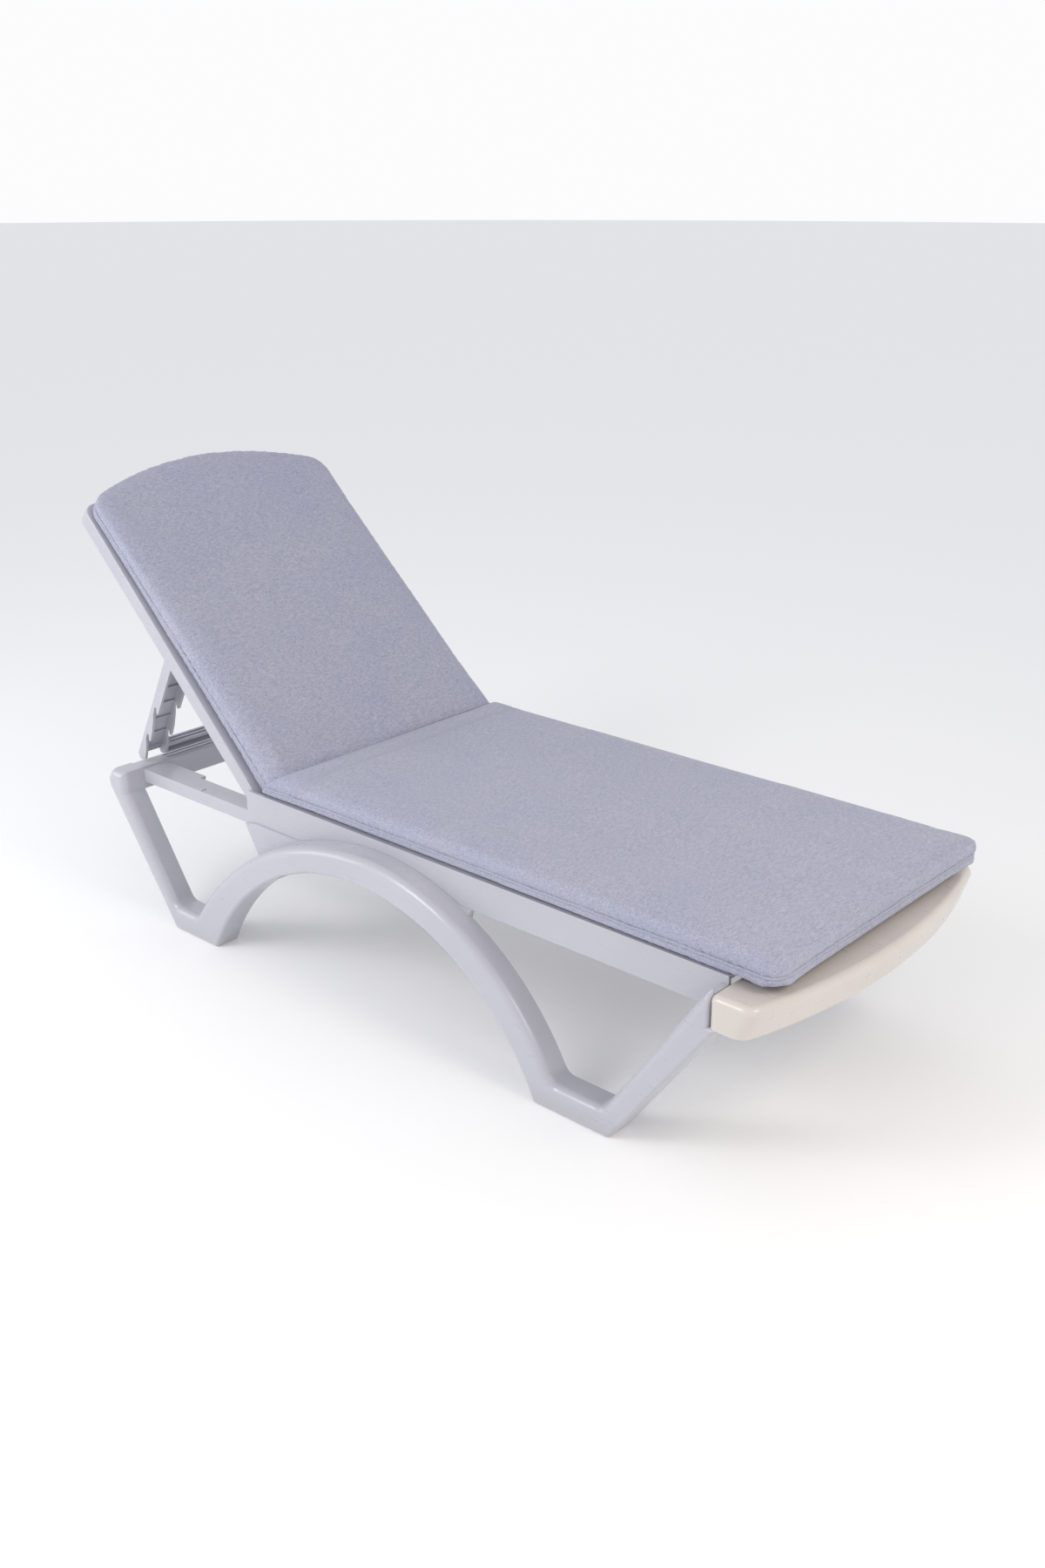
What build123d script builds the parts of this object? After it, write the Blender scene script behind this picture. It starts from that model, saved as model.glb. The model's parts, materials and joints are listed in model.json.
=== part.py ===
"""Reclining sun lounger: moulded side frames, rails, slatted deck, reclining back, notched prop, cushions.

Frame: millimetres, +X towards the foot end, +Z up, floor at z = 0, centre line at y = 0. The left half
(+Y) mirrors the right one. Lengths along X are set out from a station near the middle of the base, and
each node is written relative to the middle of the overall length, MIDDLE_X.
"""
from build123d import *
import math
import os

# Overall size
HALF_WIDTH = 350.0
FOOT_BOW_X = 881.0
MIDDLE_X = -23.41

# Side frames: one moulded band that forms head leg, head foot, arch, front foot and front leg
FRAME_IN = 297.0
FRAME_DEPTH = HALF_WIDTH - FRAME_IN
HEAD_X = -804.0
HEAD_TOP = 309.5
HEAD_INNER_X = -744.0
FOOT_TOP = 48.0
ARCH_X = -35.0
ARCH_LOW = 276.0
ARCH_LOW_R = 473.0
ARCH_TOP = 328.0
FRAME_WALL = 4.5
FRAME_SKIN = 12.0
EDGE_ROUND = 18.0
EDGE_SOFT = 6.0
SOLE_ROUND = 7.0

# Side rails: seat section and the lower head section, joined at a step by the hinge
RAIL_OUT = 296.5
RAIL_WALL = 7.0
RAIL_TOP = 348.0
RAIL_LOW = 285.0
RAIL_FLANGE_IN = 240.0
RAIL_LIP_IN = 262.0
RAIL_FLANGE_T = 7.0
RAIL_LIP_T = 6.0
STEP_X = -402.0
SEAT_START = -350.0
HEAD_SECTION_TOP = 306.0
HEAD_SECTION_LOW = 278.0
HEAD_FLANGE_STEP_X = -612.0
HEAD_FLANGE_IN = 236.0
HEAD_FLANGE_IN_SLIM = 250.0
REST_TAB_X = -560.0

# Foot rail
FOOT_RAIL_X = 744.0
FOOT_RAIL_TOP = 338.0
FOOT_RAIL_LOW = 281.0
FOOT_RAIL_END_X = 826.0
FOOT_RAIL_WALL = 5.0
FOOT_RAIL_TOP_WALL = 8.0
FOOT_RAIL_LEAN = 18.0

# Head cross rail
HEAD_RAIL_LOW = 262.0
HEAD_RAIL_WALL = 5.0

# Seat deck
SLAT_T = 7.0
SEAT_SLATS = 15
SEAT_SLAT_GAP = 14.0
BEAM_XS = (-300.0, 120.0, 540.0)
BEAM_WIDTH = 36.0
BEAM_WALL = 4.0

# Backrest, described lying flat and then turned up about the hinge
RECLINE = 45.0
HINGE_X = -389.0
HINGE_Z = 328.0
HINGE_R = 6.0
HINGE_BOSS_R = 19.0
RUNNING = 0.05
BACK_HALF = 288.0
BACK_SKIRT = 6.0
BACK_UNDER = -17.5
BACK_OVER = 12.0
BACK_PLATE = 6.0
BACK_CORNER_U = 712.0
BACK_APEX_U = 742.0
BACK_CORNER_R = 28.0
BACK_SPLIT_U = 612.0
BACK_WINDOW_START = 24.0
BACK_WINDOW_END = 664.0
BACK_SLATS = 8
BACK_SLAT_GAP = 16.0

# Prop, described folded up under the flat back and then turned down about its pivot
PROP_U = 349.0
PROP_W = -6.5
PROP_HALF_DEPTH = 12.0
PROP_LENGTH = 278.5
PROP_OUT = 279.5
PROP_WIDTH = 58.0
PROP_WALL = 6.0
PROP_PIN_R = 5.0
PROP_UNFOLD = 107.1
PROP_WEB_START = 34.0
PROP_RIB_PITCH = 42.0
CROSSBAR_START = 258.0
CROSSBAR_DEPTH = 26.0

# Cushions: a loose pad, lying a little off the centre line
PAD_HALF = 318.0
PAD_SHIFT = 14.0
BACK_PAD_HALF = 310.0
BACK_PAD_SHIFT = 25.0
PAD_TOP = 408.0
PAD_GAP = 0.5
SEAT_PAD_START = -361.0
SEAT_PAD_END = 838.0
BACK_PAD_START = 28.0
BACK_PAD_OVER = 62.0
BACK_PAD_APEX_U = 770.0
BACK_PAD_CORNER_U = 704.0
PAD_CORNER_R = 30.0

# Screws that hold the side frames and the cross rails to the side rails
SCREW_R = 3.0
SCREW_HEAD_R = 6.0
SCREW_HEAD_T = 4.0
SCREW_BOSS_R = 11.0
SCREW_BITE = 30.0
RAIL_SCREWS = ((-150.0, 299.0), (80.0, 299.0), (725.0, 305.0))
HEAD_SCREW = (-770.0, 285.0)

os.makedirs("parts", exist_ok=True)


def slab(face, y_start, depth):
    """Stand a face drawn in x and z upright at y = -y_start and thicken it towards -Y."""
    upright = Plane(origin=(0, -y_start, 0), x_dir=(1, 0, 0), z_dir=(0, -1, 0))
    return extrude(upright * face, amount=depth)


def rounded(face, corner, radius):
    """Round the corner of a face that lies nearest to the given point."""
    vertex = min(face.vertices(), key=lambda v: (v.X - corner[0]) ** 2 + (v.Y - corner[1]) ** 2)
    return fillet(vertex, radius)


def block(low, high):
    """A box from its lowest to its highest corner."""
    size = [b - a for a, b in zip(low, high)]
    return Pos(*low) * Box(*size, align=(Align.MIN, Align.MIN, Align.MIN))


def rod(radius, x, z, y_start, y_end):
    """A round bar along Y."""
    bar = Cylinder(radius, y_end - y_start, align=(Align.CENTER, Align.CENTER, Align.MIN))
    return Pos(x, y_end, z) * Rot(90, 0, 0) * bar


def left(shape):
    """The mirror image of a right-hand piece."""
    return mirror(shape, about=Plane.XZ)


def turned(shape, x, z, angle):
    """Turn a shape about a line along Y through x, z."""
    return Pos(x, 0, z) * Rot(0, angle, 0) * Pos(-x, 0, -z) * shape


def recline(shape):
    """Raise a piece of the flat back to the upright position of the model."""
    return turned(shape, HINGE_X, HINGE_Z, RECLINE)


def save(shape, name):
    """Write one node; loose results of a boolean are kept as the solids of one group."""
    solids = (Pos(-MIDDLE_X, 0, 0) * shape).solids()
    export_step(solids[0] if len(solids) == 1 else Compound(children=solids), f"parts/{name}.step")


def arch_low(x):
    """Height of the arch's lower edge at x."""
    return ARCH_LOW - ARCH_LOW_R + math.sqrt(ARCH_LOW_R ** 2 - (x - ARCH_X) ** 2)


def frame_outline():
    """Outline of a side frame in x and z."""
    sole = math.sqrt(ARCH_LOW_R ** 2 - (ARCH_LOW_R - ARCH_LOW) ** 2)
    crown = (ARCH_X, ARCH_TOP)
    lines = [
        Line((-611, 0), (ARCH_X - sole, 0)),
        ThreePointArc((ARCH_X - sole, 0), (ARCH_X, ARCH_LOW), (ARCH_X + sole, 0)),
        Polyline((ARCH_X + sole, 0), (559, 0), (760, FOOT_RAIL_LOW), (FOOT_RAIL_X, FOOT_RAIL_LOW),
                 (FOOT_RAIL_X, 333), (732, 333), (541, FOOT_TOP), (431, FOOT_TOP)),
        ThreePointArc((431, FOOT_TOP), (245, 250), crown),
        ThreePointArc(crown, (-360, 223), (-531, FOOT_TOP)),
        Polyline((-531, FOOT_TOP), (-601, FOOT_TOP), (HEAD_INNER_X, 262), (HEAD_INNER_X, HEAD_TOP),
                 (-790, HEAD_TOP), (HEAD_X, 290), (HEAD_X, 271), (-611, 0)),
    ]
    face = make_face(lines)
    for corner, radius in (((541, FOOT_TOP), 22), ((431, FOOT_TOP), 26), ((-531, FOOT_TOP), 22),
                           ((-601, FOOT_TOP), 26), ((-790, HEAD_TOP), 12), ((HEAD_X, 290), 9),
                           ((HEAD_X, 271), 20)):
        face = rounded(face, corner, radius)
    return face


def gusset_outline():
    """Web that fills the space between the arch and the underside of the side rail."""
    return make_face(Polyline(
        (STEP_X - 4, HEAD_SECTION_LOW), (-362, 205), (-330, 175), (-200, 250), (ARCH_X, 279), (150, 270),
        (200, 262), (207, RAIL_LOW), (STEP_X + 26, RAIL_LOW), (STEP_X - 4, HEAD_SECTION_LOW)))


def side_frame():
    """Moulded side frame: a rounded shell, open and ribbed on its inner side."""
    outline = frame_outline()
    body = slab(outline, FRAME_IN, FRAME_DEPTH)
    outer = body.edges().filter_by(lambda e: abs(e.center().Y + HALF_WIDTH) < 0.01)
    soffit = outer.filter_by(lambda e: -480 < e.center().X < 420 and
                             e.center().Z < arch_low(e.center().X) + 8)
    front = outer.filter_by(lambda e: e.center().X > 560)
    soles = outer.filter_by(lambda e: e.center().Z < 6)
    crown = outer.filter_by(lambda e: e not in soffit and e not in front and e not in soles)
    body = fillet(crown, EDGE_ROUND)
    body = fillet(body.edges().filter_by(lambda e: abs(e.center().Y + HALF_WIDTH) < 0.01), EDGE_SOFT)
    body = fillet(body.edges().filter_by(Axis.Y).filter_by(lambda e: abs(e.center().Z) < 0.01), SOLE_ROUND)
    cavity = slab(offset(outline, amount=-FRAME_WALL), FRAME_IN, FRAME_DEPTH - FRAME_SKIN)
    ribs = []
    for number in range(24):
        ribs.append(slab(Pos(-760 + 64 * number, 160) * Rectangle(3, 400), FRAME_IN, FRAME_DEPTH))
    for x, z in RAIL_SCREWS + (HEAD_SCREW,):
        ribs.append(rod(SCREW_BOSS_R, x, z, -HALF_WIDTH + FRAME_SKIN - 2, -FRAME_IN))
    for rib in ribs:
        cavity = cavity - rib
    body = body - cavity
    body = body + slab(gusset_outline(), RAIL_OUT - RAIL_WALL, FRAME_IN + 4 - RAIL_OUT + RAIL_WALL)
    for x, z in RAIL_SCREWS + (HEAD_SCREW,):
        body = body - rod(SCREW_R, x, z, -RAIL_OUT - SCREW_BITE, -RAIL_OUT + RAIL_WALL)
    return body


def side_rail():
    """Side rail: an inward-facing channel with a high seat section and a low head section."""
    wall_outline = make_face(Polyline(
        (HEAD_INNER_X, HEAD_SECTION_LOW), (STEP_X - 4, HEAD_SECTION_LOW), (STEP_X + 26, RAIL_LOW),
        (FOOT_RAIL_X, RAIL_LOW), (FOOT_RAIL_X, RAIL_TOP), (STEP_X, RAIL_TOP),
        (STEP_X, HEAD_SECTION_TOP), (HEAD_INNER_X, HEAD_SECTION_TOP),
        (HEAD_INNER_X, HEAD_SECTION_LOW)))
    wall_outline = rounded(wall_outline, (STEP_X, RAIL_TOP), 7)
    rail = slab(wall_outline, RAIL_OUT - RAIL_WALL, RAIL_WALL)
    rail += block((SEAT_START, -RAIL_OUT, RAIL_TOP - RAIL_FLANGE_T),
                  (FOOT_RAIL_X, -RAIL_FLANGE_IN, RAIL_TOP))
    rail += block((SEAT_START, -RAIL_OUT, RAIL_LOW), (FOOT_RAIL_X, -RAIL_LIP_IN, RAIL_LOW + RAIL_LIP_T))
    rail += block((SEAT_START, -RAIL_OUT, RAIL_LOW), (SEAT_START + 5, -RAIL_FLANGE_IN, RAIL_TOP))
    flange_low = HEAD_SECTION_TOP - RAIL_FLANGE_T
    rail += block((HEAD_INNER_X, -RAIL_OUT, flange_low),
                  (HEAD_FLANGE_STEP_X, -HEAD_FLANGE_IN, HEAD_SECTION_TOP))
    rail += block((HEAD_FLANGE_STEP_X, -RAIL_OUT, flange_low),
                  (SEAT_START + 5, -HEAD_FLANGE_IN_SLIM, HEAD_SECTION_TOP))
    rail += block((REST_TAB_X - 9, -RAIL_OUT + 3, HEAD_SECTION_TOP),
                  (REST_TAB_X + 9, -RAIL_OUT + 14, HEAD_SECTION_TOP + 1.5))
    rail -= rod(HINGE_R, HINGE_X, HINGE_Z, -RAIL_OUT + 2, -RAIL_OUT + RAIL_WALL)
    for x, z in RAIL_SCREWS:
        rail -= rod(SCREW_R, x, z, -RAIL_OUT, -RAIL_OUT + RAIL_WALL)
    return rail


def foot_plan(back):
    """Plan of the foot rail, its bow set back by the given length."""
    end = FOOT_RAIL_END_X - back
    plan = make_face([
        Polyline((end, -HALF_WIDTH), (FOOT_RAIL_X, -HALF_WIDTH), (FOOT_RAIL_X, HALF_WIDTH), (end, HALF_WIDTH)),
        ThreePointArc((end, HALF_WIDTH), (FOOT_BOW_X - back, 0), (end, -HALF_WIDTH)),
    ])
    for side in (-1, 1):
        plan = rounded(plan, (end, side * HALF_WIDTH), 26)
        plan = rounded(plan, (FOOT_RAIL_X, side * HALF_WIDTH), 15)
    return plan


def foot_rail():
    """Bow-fronted rail across the foot end, leaning back towards its foot; a shell open underneath."""
    roof = FOOT_RAIL_TOP - FOOT_RAIL_TOP_WALL
    lean = FOOT_RAIL_LEAN * FOOT_RAIL_TOP_WALL / (FOOT_RAIL_TOP - FOOT_RAIL_LOW)
    body = loft([Pos(0, 0, FOOT_RAIL_LOW) * foot_plan(FOOT_RAIL_LEAN), Pos(0, 0, FOOT_RAIL_TOP) * foot_plan(0)])
    body = fillet(body.faces().sort_by(Axis.Z)[-1].edges(), 12)
    hollow = loft([Pos(0, 0, FOOT_RAIL_LOW) * offset(foot_plan(FOOT_RAIL_LEAN), amount=-FOOT_RAIL_WALL),
                   Pos(0, 0, roof) * offset(foot_plan(lean), amount=-FOOT_RAIL_WALL)])
    for number in range(7):
        y = -270 + 90 * number
        hollow -= block((FOOT_RAIL_X, y - 2, FOOT_RAIL_LOW), (FOOT_BOW_X, y + 2, FOOT_RAIL_TOP))
    return body - hollow


def head_cross_rail():
    """Rail across the head end, with two long grooves in its top for the foot of the prop."""
    outline = make_face(Polyline((-797, HEAD_RAIL_LOW), (HEAD_INNER_X, HEAD_RAIL_LOW),
                                 (HEAD_INNER_X, HEAD_TOP), (-797, HEAD_TOP), (-797, HEAD_RAIL_LOW)))
    outline = rounded(outline, (-797, HEAD_TOP), 20)
    outline = rounded(outline, (HEAD_INNER_X, HEAD_TOP), 4)
    rail = slab(outline, -FRAME_IN, 2 * FRAME_IN)
    rail -= block((-797 + HEAD_RAIL_WALL, -FRAME_IN + RAIL_WALL, HEAD_RAIL_LOW),
                  (HEAD_INNER_X - HEAD_RAIL_WALL, FRAME_IN - RAIL_WALL, HEAD_TOP - 10))
    for side in (-1, 1):
        hole = rod(SCREW_R, *HEAD_SCREW, -FRAME_IN, -FRAME_IN + RAIL_WALL)
        rail -= hole if side < 0 else left(hole)
    for x in (-772, -758):
        rail -= block((x - 3, -226, HEAD_TOP - 4), (x + 3, 226, HEAD_TOP))
    return rail


def cross_beam(x):
    """Bearer between the side rails: a channel open underneath, with end plates."""
    low = RAIL_LOW + RAIL_LIP_T
    high = RAIL_TOP - RAIL_FLANGE_T
    half_length = RAIL_OUT - RAIL_WALL
    beam = block((x - BEAM_WIDTH / 2, -half_length, low), (x + BEAM_WIDTH / 2, half_length, high))
    beam -= block((x - BEAM_WIDTH / 2 + BEAM_WALL, -half_length + BEAM_WALL, low),
                  (x + BEAM_WIDTH / 2 - BEAM_WALL, half_length - BEAM_WALL, high - BEAM_WALL))
    return beam


def slats(start, end, count, gap, half_length, low, high):
    """A row of equal boards across the frame."""
    pitch = (end - start + gap) / count
    row = []
    for number in range(count):
        x = start + number * pitch
        board = block((x, -half_length, low), (x + pitch - gap, half_length, high))
        row.append(fillet(board.edges().filter_by(Axis.Y).sort_by(Axis.Z)[-2:], 2))
    return Compound(children=row)


def back_outline(half, corner_u, apex_u, start_u, corner_r):
    """Plan of the flat back: straight sides and an arched top, rounded where they meet."""
    lines = [
        Polyline((HINGE_X - corner_u, -half), (HINGE_X - start_u, -half),
                 (HINGE_X - start_u, half), (HINGE_X - corner_u, half)),
        ThreePointArc((HINGE_X - corner_u, half), (HINGE_X - apex_u, 0), (HINGE_X - corner_u, -half)),
    ]
    plan = make_face(lines)
    for side in (-1, 1):
        plan = rounded(plan, (HINGE_X - corner_u, side * half), corner_r)
    return plan


def back_frame():
    """The flat back's frame: a shallow tray with a window for the slats, before it is parted."""
    plan = back_outline(BACK_HALF, BACK_CORNER_U, BACK_APEX_U, -2, BACK_CORNER_R)
    base = HINGE_Z + BACK_UNDER
    frame = Pos(0, 0, base) * extrude(plan, amount=BACK_OVER - BACK_UNDER)
    top = frame.faces().sort_by(Axis.Z)[-1].edges()
    frame = fillet(top.filter_by(lambda e: e.center().X < HINGE_X), 3)
    inner = back_outline(BACK_HALF - BACK_SKIRT, BACK_CORNER_U - 3, BACK_APEX_U - BACK_SKIRT, -9,
                         BACK_CORNER_R - BACK_SKIRT)
    frame -= Pos(0, 0, base) * extrude(inner, amount=BACK_OVER - BACK_UNDER - BACK_PLATE)
    frame -= block((HINGE_X - BACK_WINDOW_END, -RAIL_FLANGE_IN, base),
                   (HINGE_X + 40, RAIL_FLANGE_IN, HINGE_Z + BACK_OVER))
    return frame


def back_rail(frame):
    """Right-hand side rail of the back, with its hinge boss and the lug for the prop's pivot."""
    rail = frame & block((HINGE_X - BACK_SPLIT_U, -BACK_HALF, HINGE_Z + BACK_UNDER),
                         (HINGE_X - 14, 0, HINGE_Z + BACK_OVER))
    rail += rod(HINGE_BOSS_R, HINGE_X, HINGE_Z, -BACK_HALF, -RAIL_LIP_IN) & block(
        (HINGE_X - 60, -BACK_HALF, HINGE_Z + BACK_UNDER), (HINGE_X + 60, 0, HINGE_Z + BACK_OVER))
    rail += block((HINGE_X - 40, -BACK_HALF, HINGE_Z - 12), (HINGE_X, -RAIL_LIP_IN, HINGE_Z + BACK_OVER))
    rail -= rod(HINGE_R + RUNNING, HINGE_X, HINGE_Z, -BACK_HALF, -RAIL_LIP_IN)
    pivot_x = HINGE_X - PROP_U
    pivot_z = HINGE_Z + PROP_W
    lug_out = -PROP_OUT + PROP_WALL + 1
    lug_in = -PROP_OUT + PROP_WIDTH - PROP_WALL - 1
    lug = rod(11, pivot_x, pivot_z, lug_out, lug_in)
    lug += block((pivot_x - 11, lug_out, pivot_z), (pivot_x + 11, lug_in, HINGE_Z + BACK_OVER - BACK_PLATE))
    rail += lug
    rail -= rod(PROP_PIN_R, pivot_x, pivot_z, lug_out, lug_in)
    return rail


def hinge_tube():
    """Round bar across the foot of the back, between the two hinge bosses."""
    tube = rod(14, HINGE_X, HINGE_Z, -RAIL_LIP_IN, RAIL_LIP_IN)
    tube -= rod(10, HINGE_X, HINGE_Z, -RAIL_LIP_IN + 3, RAIL_LIP_IN - 3)
    tube += block((HINGE_X - BACK_WINDOW_START, -RAIL_FLANGE_IN, HINGE_Z + BACK_OVER - BACK_PLATE),
                  (HINGE_X - 11, RAIL_FLANGE_IN, HINGE_Z + BACK_OVER))
    return tube


def prop_outline():
    """One flange of the prop folded flat: claws point at the far end, open side down."""
    pivot_x = HINGE_X - PROP_U
    pivot_z = HINGE_Z + PROP_W
    shape = (
        (0, PROP_HALF_DEPTH), (PROP_LENGTH, PROP_HALF_DEPTH), (PROP_LENGTH + 12, 0),
        (PROP_LENGTH, -PROP_HALF_DEPTH), (262, -9), (244, -4), (232, 2), (218, 3),
        (214, -1), (228, -9), (226, -PROP_HALF_DEPTH), (202, -10), (176, -4), (160, 1), (143, 3),
        (138, -1), (153, -9), (150, -PROP_HALF_DEPTH), (0, -PROP_HALF_DEPTH), (0, PROP_HALF_DEPTH))
    face = make_face(Polyline(*[(pivot_x - along, pivot_z + across) for along, across in shape]))
    for along, across, radius in ((PROP_LENGTH + 12, 0, 9), (232, 2, 8), (160, 1, 8),
                                  (214, -1, 2.5), (138, -1, 2.5), (228, -9, 2), (153, -9, 2),
                                  (218, 3, 3), (143, 3, 3), (202, -10, 14), (262, -9, 14)):
        face = rounded(face, (pivot_x - along, pivot_z + across), radius)
    return face + Pos(pivot_x, pivot_z) * Circle(PROP_HALF_DEPTH)


def prop_leg():
    """Right-hand leg of the prop: two notched flanges joined by a web with cross ribs."""
    pivot_x = HINGE_X - PROP_U
    pivot_z = HINGE_Z + PROP_W
    flange = prop_outline()
    leg = slab(flange, PROP_OUT - PROP_WALL, PROP_WALL)
    leg += slab(flange, PROP_OUT - PROP_WIDTH, PROP_WALL)
    web_end = pivot_x - PROP_LENGTH - 2
    leg += block((web_end, -PROP_OUT, pivot_z + PROP_HALF_DEPTH - 4),
                 (pivot_x - PROP_WEB_START, -PROP_OUT + PROP_WIDTH, pivot_z + PROP_HALF_DEPTH))
    for number in range(6):
        x = pivot_x - PROP_WEB_START - PROP_RIB_PITCH * (number + 0.5)
        leg += block((x - 1.5, -PROP_OUT + 2, pivot_z + PROP_HALF_DEPTH - 8),
                     (x + 1.5, -PROP_OUT + PROP_WIDTH - 2, pivot_z + PROP_HALF_DEPTH - 3))
    return leg - rod(PROP_PIN_R + RUNNING, pivot_x, pivot_z, -PROP_OUT, -PROP_OUT + PROP_WIDTH)


def prop_crossbar():
    """Grooved bar that joins the feet of the two prop legs."""
    half_length = PROP_OUT - PROP_WIDTH
    end_x = HINGE_X - PROP_U - CROSSBAR_START
    middle_z = HINGE_Z + PROP_W
    low = middle_z - 8
    high = middle_z + PROP_HALF_DEPTH
    bar = block((end_x - CROSSBAR_DEPTH, -half_length, low), (end_x, half_length, high))
    for z in (middle_z - 2, middle_z + 6):
        bar -= block((end_x - 4, -half_length + 8, z - 2), (end_x, half_length - 8, z + 2))
    bar -= block((end_x - CROSSBAR_DEPTH + 4, -half_length + 4, low), (end_x - 8, half_length - 4, high - 4))
    return bar


def unfold(shape):
    """Turn the folded prop down onto the head cross rail and raise it with the back."""
    return recline(turned(shape, HINGE_X - PROP_U, HINGE_Z + PROP_W, -PROP_UNFOLD))


def frame_screws():
    """Screws from inside the side rails and the head cross rail into the side frames."""
    group = []
    for x, z in RAIL_SCREWS + (HEAD_SCREW,):
        seat = -FRAME_IN + RAIL_WALL if (x, z) == HEAD_SCREW else -RAIL_OUT + RAIL_WALL
        shank = rod(SCREW_R, x, z, -RAIL_OUT - SCREW_BITE, seat)
        screw = shank + rod(SCREW_HEAD_R, x, z, seat, seat + SCREW_HEAD_T)
        group += [screw, left(screw)]
    return Compound(children=group)


def seat_pad():
    """Seat cushion as a plain closed slab."""
    pad = block((SEAT_PAD_START, PAD_SHIFT - PAD_HALF, RAIL_TOP + PAD_GAP),
                (SEAT_PAD_END, PAD_SHIFT + PAD_HALF, PAD_TOP))
    return fillet(pad.edges().filter_by(Axis.Z), PAD_CORNER_R - 8)


def back_pad():
    """Back cushion as a plain closed slab with the arched top of the back."""
    plan = back_outline(BACK_PAD_HALF, BACK_PAD_CORNER_U, BACK_PAD_APEX_U, BACK_PAD_START, 2 * PAD_CORNER_R)
    low = HINGE_Z + BACK_OVER + PAD_GAP
    return Pos(0, BACK_PAD_SHIFT, low) * extrude(plan, amount=BACK_PAD_OVER - BACK_OVER - PAD_GAP)


def main():
    """Build and write every node."""
    pieces = {
        "side_frame": side_frame(),
        "side_rail": side_rail(),
        "hinge_pin": rod(HINGE_R, HINGE_X, HINGE_Z, -RAIL_OUT + 2, -RAIL_LIP_IN - 2),
    }
    back = back_frame()
    pieces["backrest_rail"] = recline(back_rail(back))
    pieces["prop_leg"] = unfold(prop_leg())
    pieces["prop_pin"] = recline(rod(PROP_PIN_R, HINGE_X - PROP_U, HINGE_Z + PROP_W,
                                     -PROP_OUT, -PROP_OUT + PROP_WIDTH))
    for name, piece in pieces.items():
        save(piece, f"{name}_right")
        save(left(piece), f"{name}_left")
    save(foot_rail(), "foot_rail")
    save(head_cross_rail(), "head_cross_rail")
    for number, x in enumerate(BEAM_XS, 1):
        save(cross_beam(x), f"cross_beam_{number}")
    save(slats(SEAT_START, FOOT_RAIL_X, SEAT_SLATS, SEAT_SLAT_GAP, RAIL_FLANGE_IN,
               RAIL_TOP - SLAT_T, RAIL_TOP), "seat_slats")
    save(frame_screws(), "frame_screws")
    top = back & block((HINGE_X - 800, -BACK_HALF, HINGE_Z + BACK_UNDER),
                       (HINGE_X - BACK_SPLIT_U, BACK_HALF, HINGE_Z + BACK_OVER))
    save(recline(top), "backrest_top_rail")
    save(recline(hinge_tube()), "backrest_hinge_tube")
    save(recline(slats(HINGE_X - BACK_WINDOW_END, HINGE_X - BACK_WINDOW_START, BACK_SLATS, BACK_SLAT_GAP,
                       RAIL_FLANGE_IN, HINGE_Z + BACK_OVER - BACK_PLATE, HINGE_Z + BACK_OVER)),
         "backrest_slats")
    save(unfold(prop_crossbar()), "prop_crossbar")
    save(seat_pad(), "seat_cushion")
    save(recline(back_pad()), "back_cushion")


main()
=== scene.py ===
"""Looks of the reclining sun lounger: moulded plastic, two simulated cushion sections, piping and a studio.

Metres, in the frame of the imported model: +X towards the foot end, +Z up, floor at z = 0. Each cushion
section is built lying flat, in its own (along, across, height) coordinates, and is then put in place.
"""

import json
import math

import bmesh
import bpy
import numpy as np
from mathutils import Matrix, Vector
from mathutils.bvhtree import BVHTree


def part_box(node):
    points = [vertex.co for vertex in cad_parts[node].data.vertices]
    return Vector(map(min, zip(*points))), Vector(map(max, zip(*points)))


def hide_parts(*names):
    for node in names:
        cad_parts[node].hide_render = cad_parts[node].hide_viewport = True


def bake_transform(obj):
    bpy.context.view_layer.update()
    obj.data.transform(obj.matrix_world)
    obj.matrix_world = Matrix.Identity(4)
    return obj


# Camera: place, direction and lens of the reference view
CAMERA_PLACE = (1.9457, -2.0987, 1.5065)
CAMERA_AZIMUTH = 41.5594
CAMERA_ELEVATION = 21.6159
CAMERA_LENS = 36.357

# Cushion sections
VOXEL = 0.0065
RIM_PITCH = 0.004
PAD_INSET = 0.0015
ROOM_UNDER = 0.004
ROOM_OVER = 0.005
SEAT_LAP = 0.012
BACK_START = -0.045
PAD_EDGE = 0.0165
PAD_PRESSURE = 4.0
SIM_FRAMES = 20
SWELL_EDGE = 0.0075
SWELL_MIDDLE = 0.010
SWELL_REACH = 0.16
SEAT_CORNER_NEAR = 0.030
SEAT_CORNER_FAR = 0.010
BACK_CORNER = 0.050
BACK_ARCH_RISE = 0.066
SEAM_SHARE = 0.36
SEAM_PULL = 0.0042
SEAM_HALF = 0.0045
PIPING_R = 0.0027
PIPING_SIDES = 10
PIPING_ROUNDS = 6
GATHER_PITCH = 0.016
GATHER_DEPTH = 0.0013
GATHER_REACH = 0.030

# Yarn colours of the fabric, and how much brighter the cushions and their piping are; the piping's extra
# brightness is a painted highlight along the round cord
YARN_BLUE = (0.270, 0.300, 0.412)
YARN_PALE = (0.458, 0.464, 0.545)
YARN_WARM = (0.430, 0.420, 0.443)
CUSHION_TINT = (1.06, 1.05, 1.07)
PIPING_PAINTED_HIGHLIGHT_TINT = (1.12, 1.12, 1.10)

# Plastics: colour, roughness, grain and dust at the foot
FRAME_PLASTIC = ((0.485, 0.485, 0.540), 0.26, 0.10, 0.5)
# The foot rail's warm cream base colour is painted warm light from the foot end.
FOOT_RAIL_PLASTIC_PAINTED_WARM_LIGHT = ((0.650, 0.600, 0.560), 0.26, 0.10, 0.0)
PIN_PLASTIC = ((0.50, 0.50, 0.55), 0.45, 0.25, 0.0)
DUST_COLOUR = (0.36, 0.34, 0.33)

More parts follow.
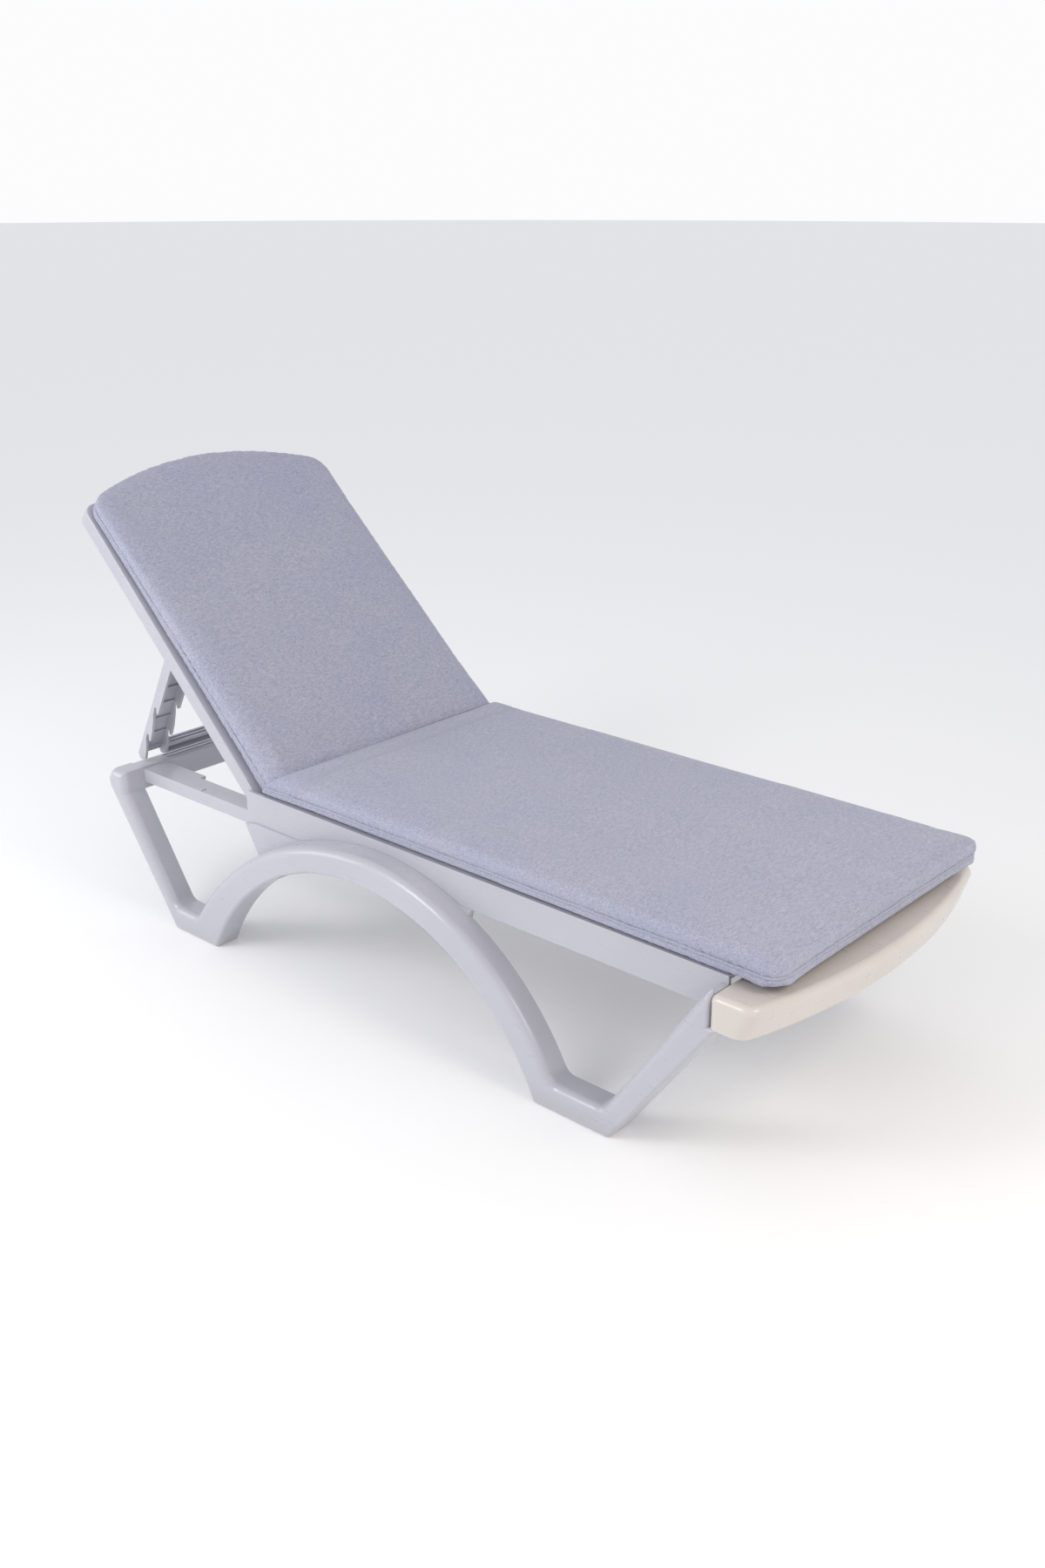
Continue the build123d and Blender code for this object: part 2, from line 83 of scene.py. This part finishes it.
# Studio: pale walls, a greyer ceiling and a floor that gives back some light of its own
WALL_COLOUR = (0.885, 0.885, 0.895)
CEILING_COLOUR = (0.56, 0.57, 0.60)
FLOOR_TONE = 0.88
FLOOR_GLOW = 0.12
FLOOR_RADIUS = 40.0
WORLD_STRENGTH = 1.10

# Lights: name, place, aim, width, power and colour
LIGHTS = (
    ("key", (-0.9, -2.6, 2.3), (0.0, 0.0, 0.3), 1.1, 30, (1.0, 0.985, 0.97)),
    ("side", (-2.6, -2.0, 1.2), (-0.3, -0.2, 0.3), 1.2, 14, (0.86, 0.90, 1.0)),
    ("warm", (2.0, -0.3, 1.6), (0.8, 0.0, 0.33), 0.7, 10, (1.0, 0.88, 0.74)),
)

# Where the two sections meet: the crease line on top and the foot of the contact plane, in x and z
CREASE_TOP = (-0.2800, 0.4000)
CREASE_LOW = (-0.3430, 0.3520)
CREASE_GAP = 0.0001
# The back section thickens from FOLD_REACH up the back down to the fold, less so on its near side
FOLD_THICKENS = 0.070
FOLD_REACH = 0.700
FOLD_NEAR_SHARE = 0.72


def arc(centre, radius, start, end, steps):
    """Points of a circular arc in the plane, angles in radians from the first axis."""
    turns = np.linspace(start, end, steps)
    return [(centre[0] + radius * math.cos(a), centre[1] + radius * math.sin(a)) for a in turns]


def seat_outline(low, high, near_r, far_r):
    """Plan of the seat section: square at the hinge end, rounded corners at the foot end."""
    (s0, y0), (s1, y1) = low, high
    points = [(s0, y0)]
    points += arc((s1 - near_r, y0 + near_r), near_r, -math.pi / 2, 0, 8)
    points += arc((s1 - far_r, y1 - far_r), far_r, 0, math.pi / 2, 6)
    return points + [(s0, y1)]


def back_outline(start, corner, apex, half, shift, corner_r):
    """Plan of the back section: straight sides and an arched top with rounded corners."""
    rise = apex - corner
    arch_r = (half ** 2 + rise ** 2) / (2 * rise)
    arch_c = apex - arch_r
    corner_c = arch_c + math.sqrt((arch_r - corner_r) ** 2 - (half - corner_r) ** 2)
    lean = math.atan2(half - corner_r, corner_c - arch_c)
    points = [(start, shift - half)]
    points += arc((corner_c, shift - half + corner_r), corner_r, -math.pi / 2, -lean, 9)
    points += arc((arch_c, shift), arch_r, -lean, lean, 26)[1:-1]
    points += arc((corner_c, shift + half - corner_r), corner_r, lean, math.pi / 2, 9)
    return points + [(start, shift + half)]


def coordinates(mesh):
    """Vertex places as an array."""
    flat = np.empty(len(mesh.vertices) * 3)
    mesh.vertices.foreach_get("co", flat)
    return flat.reshape(-1, 3)


def normals(mesh):
    """Vertex normals as an array."""
    flat = np.empty(len(mesh.vertices) * 3)
    mesh.vertex_normals.foreach_get("vector", flat)
    return flat.reshape(-1, 3)


def place(mesh, points):
    """Write vertex places back."""
    mesh.vertices.foreach_set("co", points.ravel())
    mesh.update()


def smooth(t):
    """Smooth step from 0 to 1."""
    t = np.clip(t, 0, 1)
    return t * t * (3 - 2 * t)


def add_object(name, mesh):
    """A new object in the scene."""
    made = bpy.data.objects.new(name, mesh)
    bpy.context.scene.collection.objects.link(made)
    return made


def applied(obj, kind, **settings):
    """The object's mesh with one modifier applied."""
    modifier = obj.modifiers.new(kind.lower(), kind)
    for key, value in settings.items():
        setattr(modifier, key, value)
    depsgraph = bpy.context.evaluated_depsgraph_get()
    mesh = bpy.data.meshes.new_from_object(obj.evaluated_get(depsgraph))
    obj.modifiers.clear()
    obj.data = mesh
    return mesh


def slab(outline, low, high, edge):
    """A closed slab over a plan outline, its rims rounded."""
    bm = bmesh.new()
    rings = [[bm.verts.new((s, y, h)) for s, y in outline] for h in (low, high)]
    bm.faces.new(list(reversed(rings[0])))
    bm.faces.new(rings[1])
    for number in range(len(outline)):
        after = (number + 1) % len(outline)
        bm.faces.new((rings[0][number], rings[0][after], rings[1][after], rings[1][number]))
    rims = [e for e in bm.edges if abs(e.verts[0].co.z - e.verts[1].co.z) < 1e-6]
    bmesh.ops.bevel(bm, geom=rims, offset=edge, segments=4, profile=0.5, affect="EDGES")
    mesh = bpy.data.meshes.new("slab")
    bm.to_mesh(mesh)
    bm.free()
    return mesh


def outline_samples(outline, pitch):
    """Evenly spaced points along the closed outline with their running length."""
    corners = np.array(outline + outline[:1])
    steps = np.linalg.norm(np.diff(corners, axis=0), axis=1)
    running = np.concatenate([[0], np.cumsum(steps)])
    along = np.arange(0, running[-1], pitch)
    points = np.stack([np.interp(along, running, corners[:, axis]) for axis in (0, 1)], axis=1)
    return points, along


def nearest(points, samples):
    """For each point, the number of the nearest sample and its distance."""
    found = np.empty(len(points), int)
    away = np.empty(len(points))
    for start in range(0, len(points), 4000):
        block = points[start:start + 4000, None, :] - samples[None]
        squared = (block ** 2).sum(axis=2)
        found[start:start + 4000] = squared.argmin(axis=1)
        away[start:start + 4000] = np.sqrt(squared.min(axis=1))
    return found, away


def swell(obj, samples):
    """Inflate the slab as cloth and keep the movement within a cap that grows away from the rim."""
    start = coordinates(obj.data)
    cloth = obj.modifiers.new("cloth", "CLOTH")
    settings = cloth.settings
    settings.quality = 5
    settings.mass = 0.3
    settings.tension_stiffness = 15
    settings.compression_stiffness = 15
    settings.shear_stiffness = 5
    settings.bending_stiffness = 0.5
    settings.use_pressure = True
    settings.uniform_pressure_force = PAD_PRESSURE
    settings.effector_weights.gravity = 0
    scene = bpy.context.scene
    scene.frame_start = 1
    scene.frame_end = SIM_FRAMES
    for frame_number in range(1, SIM_FRAMES + 1):
        scene.frame_set(frame_number)
    depsgraph = bpy.context.evaluated_depsgraph_get()
    grown = coordinates(obj.evaluated_get(depsgraph).data)
    obj.modifiers.clear()
    scene.frame_set(1)
    move = grown - start
    length = np.linalg.norm(move, axis=1)
    edge_distance = nearest(start[:, :2], samples)[1]
    cap = SWELL_EDGE + (SWELL_MIDDLE - SWELL_EDGE) * smooth(edge_distance / SWELL_REACH)
    share = cap * np.tanh(length / cap) / np.maximum(length, 1e-9)
    place(obj.data, start + move * share[:, None])


def build_pad(name, outline, low, high):
    """One cushion section lying flat: remeshed, swollen by simulation, subdivided, sewn and gathered."""
    samples, running = outline_samples(outline, RIM_PITCH)
    obj = add_object(name, slab(outline, low + ROOM_UNDER, high - ROOM_OVER, PAD_EDGE))
    applied(obj, "REMESH", mode="VOXEL", voxel_size=VOXEL)
    swell(obj, samples)
    applied(obj, "SUBSURF", levels=1, render_levels=1)
    mesh = obj.data
    points = coordinates(mesh)
    points[:, 2] = np.maximum(points[:, 2], low)
    points[:, 2] = low + (points[:, 2] - low) * (high - low) / (points[:, 2].max() - low)
    fit_plan(points, samples)
    place(mesh, points)
    sew(mesh, samples, running, low + SEAM_SHARE * (high - low))
    attribute = mesh.attributes.new("lay", "FLOAT_VECTOR", "POINT")
    attribute.data.foreach_set("vector", coordinates(mesh).astype(np.float32).ravel())
    mesh.shade_smooth()
    return obj


def fit_plan(points, samples):
    """Stretch the swollen pad in plan to the size of its outline, the hinge end kept where it is."""
    (s0, y0), (s1, y1) = samples.min(axis=0), samples.max(axis=0)
    near, far = points[:, 1].min(), points[:, 1].max()
    points[:, 1] = y0 + (points[:, 1] - near) * (y1 - y0) / (far - near)
    points[:, 0] = s0 + (points[:, 0] - s0) * (s1 - s0) / (points[:, 0].max() - s0)


def sew(mesh, samples, running, seam):
    """Pull the side in along the seam and gather the panels towards it."""
    points = coordinates(mesh)
    normal = normals(mesh)
    number, away = nearest(points[:, :2], samples)
    arc_length = running[number]
    sideways = np.linalg.norm(normal[:, :2], axis=1)
    height = points[:, 2] - seam
    pull = SEAM_PULL * np.exp(-(height / SEAM_HALF) ** 2) * smooth(sideways * 1.6 - 0.3)
    wander = 2.1 * np.sin(arc_length * 9.7) + 1.3 * np.sin(arc_length * 23.9 + 1.1)
    wave = np.sin(2 * math.pi * arc_length / GATHER_PITCH + wander)
    wave += 0.6 * np.sin(2 * math.pi * arc_length / (GATHER_PITCH * 1.73) - 1.7 * wander)
    uneven = 0.55 + 0.45 * np.sin(arc_length * 6.1 + 0.8) * np.sin(arc_length * 2.3)
    reach = np.exp(-np.abs(height) / (GATHER_REACH * 0.45)) * smooth((0.034 - away) / 0.02)
    slow = 0.0011 * np.sin(points[:, 0] * 11.3 + 1.9 * np.sin(points[:, 1] * 7.1))
    slow += 0.0007 * np.sin(points[:, 1] * 17.7 + 2.3 * np.sin(points[:, 0] * 5.3))
    shift = -pull + GATHER_DEPTH * wave * uneven * reach
    points += normal * shift[:, None]
    points[:, 2] += slow * smooth(normal[:, 2]) * smooth(away / 0.06)
    place(mesh, points)


def seam_run(obj, outline, seam):
    """Points along the side of the flat pad at seam height, found by looking inwards at the cloth."""
    samples, _ = outline_samples(outline, RIM_PITCH)
    samples = samples[samples[:, 0] > min(s for s, _ in outline) + 0.001]
    tree = BVHTree.FromPolygons([v.co for v in obj.data.vertices], [p.vertices for p in obj.data.polygons])
    run = []
    for number in range(1, len(samples) - 1):
        tangent = samples[number + 1] - samples[number - 1]
        outward = np.array((tangent[1], -tangent[0])) / np.linalg.norm(tangent)
        start = samples[number] + 0.05 * outward
        wobble = 0.0006 * math.sin(number * 0.13) + 0.0004 * math.sin(number * 0.37 + 1)
        hit = tree.ray_cast(Vector((*start, seam + wobble)), Vector((*-outward, 0)), 0.09)[0]
        if hit is not None:
            run.append(np.array((hit.x, hit.y, seam + wobble)) + np.array((*outward, 0)) * PIPING_R * 0.35)
    return np.array(run)


def relaxed(run, rounds):
    """The run with its small steps evened out, ends kept."""
    for _ in range(rounds):
        run[1:-1] = 0.5 * run[1:-1] + 0.25 * (run[:-2] + run[2:])
    return run


def tube(name, run, radius, sides):
    """A closed round tube along a run of points, its ends domed."""
    tangents = np.gradient(run, axis=0)
    tangents /= np.linalg.norm(tangents, axis=1)[:, None]
    bm = bmesh.new()
    lay = []
    rings = []
    length = 0.0
    for number, (point, tangent) in enumerate(zip(run, tangents)):
        length += 0 if number == 0 else np.linalg.norm(point - run[number - 1])
        up = np.array((0.0, 0.0, 1.0))
        side = np.cross(tangent, up)
        side /= np.linalg.norm(side)
        up = np.cross(side, tangent)
        ring = []
        thick = radius * (1 + 0.05 * math.sin(length * 420) + 0.04 * math.sin(length * 170))
        for step in range(sides):
            turn = 2 * math.pi * step / sides
            ring.append(bm.verts.new(point + thick * (math.cos(turn) * side + math.sin(turn) * up)))
            lay.append((length, turn * radius, 0.0))
        rings.append(ring)
    for one, two in zip(rings, rings[1:]):
        for step in range(sides):
            after = (step + 1) % sides
            bm.faces.new((one[step], one[after], two[after], two[step]))
    for ring, end, sign in ((rings[0], 0, -1), (rings[-1], -1, 1)):
        tip = bm.verts.new(run[end] + sign * 0.6 * radius * tangents[end])
        lay.append((length if sign > 0 else 0.0, 0.0, 0.0))
        for step in range(sides):
            pair = (ring[step], ring[(step + 1) % sides])
            bm.faces.new((*pair, tip) if sign > 0 else (*pair[::-1], tip))
    bmesh.ops.recalc_face_normals(bm, faces=bm.faces)
    mesh = bpy.data.meshes.new(name)
    bm.to_mesh(mesh)
    bm.free()
    attribute = mesh.attributes.new("lay", "FLOAT_VECTOR", "POINT")
    attribute.data.foreach_set("vector", np.array(lay, np.float32).ravel())
    mesh.shade_smooth()
    return add_object(name, mesh)


class Fold:
    """The recline hinge and the directions along and out of the raised back."""

    def __init__(self, joints):
        joint = next(j for j in joints if j["name"] == "backrest_recline")
        self.x, _, self.z = joint["pos_m"]
        lean = math.radians(abs(joint["range_deg"][0]))
        self.along = np.array((-math.cos(lean), 0.0, math.sin(lean)))
        self.out = np.array((math.sin(lean), 0.0, math.cos(lean)))

    def flat_of(self, points):
        """Places in the model as (along, across, height) of the flat back."""
        away = points - np.array((self.x, 0.0, self.z))
        return np.stack([away @ self.along, points[:, 1], away @ self.out], axis=1)

    def raised(self, points):
        """Flat (along, across, height) places as places in the model."""
        origin = np.array((self.x, 0.0, self.z))
        moved = origin + points[:, :1] * self.along + points[:, 2:] * self.out
        moved[:, 1] = points[:, 1]
        return moved


def crease_side(points):
    """Distance in front of the contact plane, positive on the seat's side."""
    (x1, z1), (x0, z0) = CREASE_TOP, CREASE_LOW
    length = math.hypot(x1 - x0, z1 - z0)
    normal = np.array(((z1 - z0) / length, 0.0, -(x1 - x0) / length))
    return (points - np.array((x0, 0.0, z0))) @ normal, normal


def lay_seat(points, low, high):
    """Lean the seat section's hinge end back under the fold and trim it at the contact plane."""
    points = points.copy()
    run = CREASE_TOP[0] - CREASE_LOW[0]
    end = smooth((CREASE_TOP[0] + 0.09 - points[:, 0]) / 0.10)
    points[:, 0] += end * run * (points[:, 2] - low) / (high - low)
    side, normal = crease_side(points)
    over = np.maximum(CREASE_GAP - side, 0)
    return points + over[:, None] * np.array((1.0, 0.0, 0.0)) / normal[0]


def lay_back(points, low, high, fold):
    """Thicken the back section towards the fold, raise it and trim it at the contact plane."""
    points = points.copy()
    reach = np.maximum(FOLD_REACH - points[:, 0], 0)
    soft = np.sqrt(reach ** 2 + 0.03 ** 2) - 0.03
    across = points[:, 1]
    share = FOLD_NEAR_SHARE + (1 - FOLD_NEAR_SHARE) * smooth((across - across.min()) / np.ptp(across))
    points[:, 2] = low + (points[:, 2] - low) * (1 + FOLD_THICKENS * share * soft / (high - low))
    points = fold.raised(points)
    side, normal = crease_side(points)
    over = np.maximum(side + CREASE_GAP, 0)
    return points - over[:, None] * normal


def nodes_of(name):
    """A new node material, its node tree and its shader."""
    material = bpy.data.materials.new(name)
    material.use_nodes = True
    tree = material.node_tree
    return material, tree, tree.nodes["Principled BSDF"]


def add(tree, kind, **sockets):
    """A node with some of its inputs set or linked."""
    node = tree.nodes.new(kind)
    for key, value in sockets.items():
        socket = node.inputs[key.replace("_", " ")]
        if isinstance(value, bpy.types.NodeSocket):
            tree.links.new(value, socket)
        else:
            socket.default_value = value
    return node


def math_node(tree, operation, first, second=0.5, third=0.0):
    """A math node's result."""
    node = tree.nodes.new("ShaderNodeMath")
    node.operation = operation
    for socket, value in zip(node.inputs, (first, second, third)):
        if isinstance(value, bpy.types.NodeSocket):
            tree.links.new(value, socket)
        else:
            socket.default_value = value
    return node.outputs[0]


def ramp(tree, factor, *stops):
    """A colour ramp's result."""
    node = tree.nodes.new("ShaderNodeValToRGB")
    tree.links.new(factor, node.inputs[0])
    elements = node.color_ramp.elements
    while len(elements) < len(stops):
        elements.new(0.5)
    for element, (at, colour) in zip(elements, stops):
        element.position = at
        element.color = (*colour, 1.0)
    return node.outputs[0]


def mixed(tree, factor, first, second, kind="MIX"):
    """A colour mix's result."""
    node = tree.nodes.new("ShaderNodeMix")
    node.data_type = "RGBA"
    node.blend_type = kind
    for socket, value in ((node.inputs[0], factor), (node.inputs[6], first), (node.inputs[7], second)):
        if isinstance(value, bpy.types.NodeSocket):
            tree.links.new(value, socket)
        else:
            socket.default_value = (*value, 1.0) if isinstance(value, tuple) else value
    return node.outputs[2]


def grey(value):
    """A grey of one value."""
    return (value, value, value)


def fabric(name, tint):
    """Woven melange fabric: mixed yarns, slubs, weave relief and a soft sheen."""
    material, tree, shader = nodes_of(name)
    lay = tree.nodes.new("ShaderNodeAttribute")
    lay.attribute_name = "lay"
    lay = lay.outputs["Vector"]
    along = add(tree, "ShaderNodeMapping", Vector=lay, Scale=(0.42, 1.0, 1.0)).outputs[0]
    across = add(tree, "ShaderNodeMapping", Vector=lay, Scale=(1.0, 0.30, 1.0)).outputs[0]
    yarn = add(tree, "ShaderNodeTexNoise", Vector=along, Scale=620.0, Detail=3.0, Roughness=0.7).outputs[0]
    slub = add(tree, "ShaderNodeTexNoise", Vector=across, Scale=300.0, Detail=2.0, Roughness=0.6).outputs[0]
    fleck = add(tree, "ShaderNodeTexNoise", Vector=lay, Scale=900.0, Detail=2.0).outputs[0]
    cloud = add(tree, "ShaderNodeTexNoise", Vector=lay, Scale=7.0, Detail=3.0).outputs[0]
    blue = tuple(c * t for c, t in zip(YARN_BLUE, tint))
    pale = tuple(c * t for c, t in zip(YARN_PALE, tint))
    warm = tuple(c * t for c, t in zip(YARN_WARM, tint))
    yarns = ramp(tree, yarn, (0.36, blue), (0.50, tuple((a + b) / 2 for a, b in zip(blue, pale))),
                 (0.66, pale))
    warmed = mixed(tree, ramp(tree, fleck, (0.50, grey(0.0)), (0.68, grey(0.8))), yarns, warm)
    lines = ramp(tree, slub, (0.34, grey(0.88)), (0.64, grey(1.07)))
    streaked = mixed(tree, 1.0, warmed, lines, "MULTIPLY")
    clouds = ramp(tree, cloud, (0.30, (0.965, 0.970, 1.000)), (0.70, (1.030, 1.020, 1.000)))
    tree.links.new(mixed(tree, 1.0, streaked, clouds, "MULTIPLY"), shader.inputs["Base Color"])
    split = add(tree, "ShaderNodeSeparateXYZ", Vector=lay)
    warp = math_node(tree, "SINE", math_node(tree, "MULTIPLY", split.outputs[0], 5200.0))
    weft = math_node(tree, "SINE", math_node(tree, "MULTIPLY", split.outputs[1], 4700.0))
    woven = math_node(tree, "MULTIPLY", warp, weft)
    height = math_node(tree, "MULTIPLY_ADD", yarn, 1.4, math_node(tree, "MULTIPLY", woven, 0.35))
    relief = add(tree, "ShaderNodeBump", Strength=0.55, Distance=0.0005, Height=height)
    tree.links.new(relief.outputs[0], shader.inputs["Normal"])
    rough = ramp(tree, slub, (0.30, grey(0.80)), (0.70, grey(0.92)))
    tree.links.new(rough, shader.inputs["Roughness"])
    shader.inputs["Specular IOR Level"].default_value = 0.25
    shader.inputs["Sheen Weight"].default_value = 0.22
    shader.inputs["Sheen Roughness"].default_value = 0.45
    return material


def plastic(name, colour, roughness, grain, dust):
    """Moulded plastic: faint flow clouds, fine grain, scuffs and dusty feet."""
    material, tree, shader = nodes_of(name)
    place_in = tree.nodes.new("ShaderNodeTexCoord").outputs["Object"]
    cloud = add(tree, "ShaderNodeTexNoise", Vector=place_in, Scale=3.5, Detail=4.0, Distortion=0.4).outputs[0]
    grit = add(tree, "ShaderNodeTexNoise", Vector=place_in, Scale=900.0, Detail=2.0).outputs[0]
    scuff_place = add(tree, "ShaderNodeMapping", Vector=place_in, Scale=(0.25, 1.0, 1.6)).outputs[0]
    scuff = add(tree, "ShaderNodeTexNoise", Vector=scuff_place, Scale=70.0, Detail=6.0, Roughness=0.75)
    scuff = scuff.outputs[0]
    low = tuple(c * 0.955 for c in colour)
    high = tuple(min(c * 1.03, 1.0) for c in colour)
    tone = ramp(tree, cloud, (0.32, low), (0.68, high))
    marks = ramp(tree, scuff, (0.60, grey(0.0)), (0.74, grey(0.30)))
    tone = mixed(tree, marks, tone, tuple(c * 0.86 for c in colour))
    height = add(tree, "ShaderNodeSeparateXYZ", Vector=place_in).outputs[2]
    foot = math_node(tree, "MULTIPLY", ramp(tree, height, (0.0, grey(1.0)), (0.045, grey(0.0))), cloud)
    foot = math_node(tree, "MULTIPLY", foot, dust)
    tone = mixed(tree, foot, tone, DUST_COLOUR)
    tree.links.new(tone, shader.inputs["Base Color"])
    shine = ramp(tree, scuff, (0.35, grey(roughness)), (0.75, grey(roughness + 0.16)))
    tree.links.new(shine, shader.inputs["Roughness"])
    relief = add(tree, "ShaderNodeBump", Strength=grain, Distance=0.0003, Height=grit)
    slow = add(tree, "ShaderNodeTexNoise", Vector=place_in, Scale=26.0, Detail=2.0).outputs[0]
    wavy = add(tree, "ShaderNodeBump", Strength=0.25, Distance=0.0012, Height=slow,
               Normal=relief.outputs[0])
    tree.links.new(wavy.outputs[0], shader.inputs["Normal"])
    shader.inputs["IOR"].default_value = 1.49
    shader.inputs["Coat Weight"].default_value = 0.35
    shader.inputs["Coat Roughness"].default_value = 0.13
    return material


def steel(name):
    """Zinc-plated steel with mottled plating and fine turning marks."""
    material, tree, shader = nodes_of(name)
    place_in = tree.nodes.new("ShaderNodeTexCoord").outputs["Object"]
    patches = add(tree, "ShaderNodeTexVoronoi", Vector=place_in, Scale=700.0).outputs["Distance"]
    turning = add(tree, "ShaderNodeTexNoise", Vector=place_in, Scale=2400.0, Detail=2.0).outputs[0]
    tone = ramp(tree, patches, (0.1, (0.50, 0.50, 0.49)), (0.6, (0.68, 0.67, 0.64)))
    tree.links.new(tone, shader.inputs["Base Color"])
    tree.links.new(ramp(tree, turning, (0.3, grey(0.28)), (0.7, grey(0.46))), shader.inputs["Roughness"])
    relief = add(tree, "ShaderNodeBump", Strength=0.3, Distance=0.0001, Height=turning)
    tree.links.new(relief.outputs[0], shader.inputs["Normal"])
    shader.inputs["Metallic"].default_value = 1.0
    return material


def studio_floor():
    """Wide pale floor."""
    bm = bmesh.new()
    bmesh.ops.create_circle(bm, cap_ends=True, segments=96, radius=FLOOR_RADIUS)
    mesh = bpy.data.meshes.new("floor")
    bm.to_mesh(mesh)
    bm.free()
    floor = add_object("floor", mesh)
    material, tree, shader = nodes_of("studio_floor")
    place_in = tree.nodes.new("ShaderNodeTexCoord").outputs["Object"]
    grain = add(tree, "ShaderNodeTexNoise", Vector=place_in, Scale=60.0, Detail=3.0).outputs[0]
    tone = ramp(tree, grain, (0.3, grey(FLOOR_TONE - 0.005)), (0.7, grey(FLOOR_TONE + 0.005)))
    tree.links.new(tone, shader.inputs["Base Color"])
    shader.inputs["Emission Color"].default_value = (1.0, 1.0, 1.0, 1.0)
    shader.inputs["Emission Strength"].default_value = FLOOR_GLOW
    shader.inputs["Roughness"].default_value = 0.95
    shader.inputs["Specular IOR Level"].default_value = 0.1
    mesh.materials.append(material)


def area_light(name, place_at, aim, size, power, colour):
    """A square soft light aimed at a point."""
    data = bpy.data.lights.new(name, "AREA")
    data.size = size
    data.energy = power
    data.color = colour
    light = add_object(name, data)
    light.location = place_at
    light.rotation_euler = (Vector(aim) - Vector(place_at)).to_track_quat("-Z", "Y").to_euler()


def lighting():
    """Pale surroundings, darker overhead, a soft key, a cool side fill and a warm light on the foot end."""
    world = bpy.data.worlds.new("pale")
    bpy.context.scene.world = world
    world.use_nodes = True
    tree = world.node_tree
    background = tree.nodes["Background"]
    direction = tree.nodes.new("ShaderNodeTexCoord").outputs["Generated"]
    height = add(tree, "ShaderNodeSeparateXYZ", Vector=direction).outputs[2]
    sky = ramp(tree, height, (0.0, WALL_COLOUR), (0.25, WALL_COLOUR), (0.80, CEILING_COLOUR))
    tree.links.new(sky, background.inputs[0])
    background.inputs[1].default_value = WORLD_STRENGTH
    for row in LIGHTS:
        area_light(*row)


def camera():
    """The camera of the reference view."""
    data = bpy.data.cameras.new("camera")
    data.lens = CAMERA_LENS
    data.sensor_width = 36.0
    made = add_object("camera", data)
    made.location = CAMERA_PLACE
    made.rotation_euler = (math.radians(90 - CAMERA_ELEVATION), 0, math.radians(CAMERA_AZIMUTH))
    bpy.context.scene.camera = made


def finish_soft(obj, material):
    """Material and slot of one soft piece, its transform baked into its mesh."""
    obj.data.materials.clear()
    obj.data.materials.append(material)
    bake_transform(obj)


def cushions(fold):
    """Both cushion sections with their piping."""
    cloth = fabric("melange_fabric", CUSHION_TINT)
    # The piping fabric is made brighter than the cushion cloth as a painted highlight along the round piping.
    edging_painted_highlight = fabric("piping_fabric_painted_highlight", PIPING_PAINTED_HIGHLIGHT_TINT)
    low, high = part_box("seat_cushion")
    seam = low.z + SEAM_SHARE * (high.z - low.z)
    inset = PAD_INSET
    outline = seat_outline((low.x - SEAT_LAP, low.y + inset), (high.x - inset, high.y - inset),
                           SEAT_CORNER_NEAR, SEAT_CORNER_FAR)
    seat = build_pad("seat_section", outline, low.z, high.z)
    run = relaxed(seam_run(seat, outline, seam), PIPING_ROUNDS)
    seat_piping = tube("seat_piping", run, PIPING_R, PIPING_SIDES)
    for piece in (seat, seat_piping):
        place(piece.data, lay_seat(coordinates(piece.data), low.z, high.z))
        finish_soft(piece, cloth if piece is seat else edging_painted_highlight)
    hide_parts("seat_cushion")

    flat = fold.flat_of(coordinates(frame["nodes"]["back_cushion"].data))
    lowest, highest = flat.min(axis=0), flat.max(axis=0)
    half = (highest[1] - lowest[1]) / 2 - inset
    shift = (highest[1] + lowest[1]) / 2
    apex = highest[0] - inset
    outline = back_outline(BACK_START, apex - BACK_ARCH_RISE, apex, half, shift, BACK_CORNER)
    seam = lowest[2] + SEAM_SHARE * (highest[2] - lowest[2])
    back = build_pad("back_section", outline, lowest[2], highest[2])
    run = relaxed(seam_run(back, outline, seam), PIPING_ROUNDS)
    back_piping = tube("back_piping", run, PIPING_R, PIPING_SIDES)
    for piece in (back, back_piping):
        place(piece.data, lay_back(coordinates(piece.data), lowest[2], highest[2], fold))
        finish_soft(piece, cloth if piece is back else edging_painted_highlight)
    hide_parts("back_cushion")


def dress_frame():
    """Materials of the frame nodes by the record's slots."""
    made = {
        "frame_plastic": plastic("frame_plastic", *FRAME_PLASTIC),
        # The foot rail material's warm tint is painted warm light, not a colour of its own.
        "foot_rail_plastic": plastic("foot_rail_plastic", *FOOT_RAIL_PLASTIC_PAINTED_WARM_LIGHT),
        "pin_plastic": plastic("pin_plastic", *PIN_PLASTIC),
        "screw_steel": steel("screw_steel"),
    }
    for row in frame["record"]["subparts"]:
        material = made.get(row["material_slot"])
        obj = frame["nodes"][row["node"]]
        if material is not None:
            obj.data.materials.clear()
            obj.data.materials.append(material)


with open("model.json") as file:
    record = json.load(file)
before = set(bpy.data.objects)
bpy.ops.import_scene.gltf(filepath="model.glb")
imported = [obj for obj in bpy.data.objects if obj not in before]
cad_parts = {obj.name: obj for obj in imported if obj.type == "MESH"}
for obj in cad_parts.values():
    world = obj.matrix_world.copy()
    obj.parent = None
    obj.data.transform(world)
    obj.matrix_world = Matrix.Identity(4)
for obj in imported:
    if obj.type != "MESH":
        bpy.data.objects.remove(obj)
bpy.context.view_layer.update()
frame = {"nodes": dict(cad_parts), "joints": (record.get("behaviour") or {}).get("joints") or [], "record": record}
dress_frame()
cushions(Fold(frame["joints"]))
studio_floor()
lighting()
camera()
bpy.context.scene.view_settings.view_transform = "Standard"
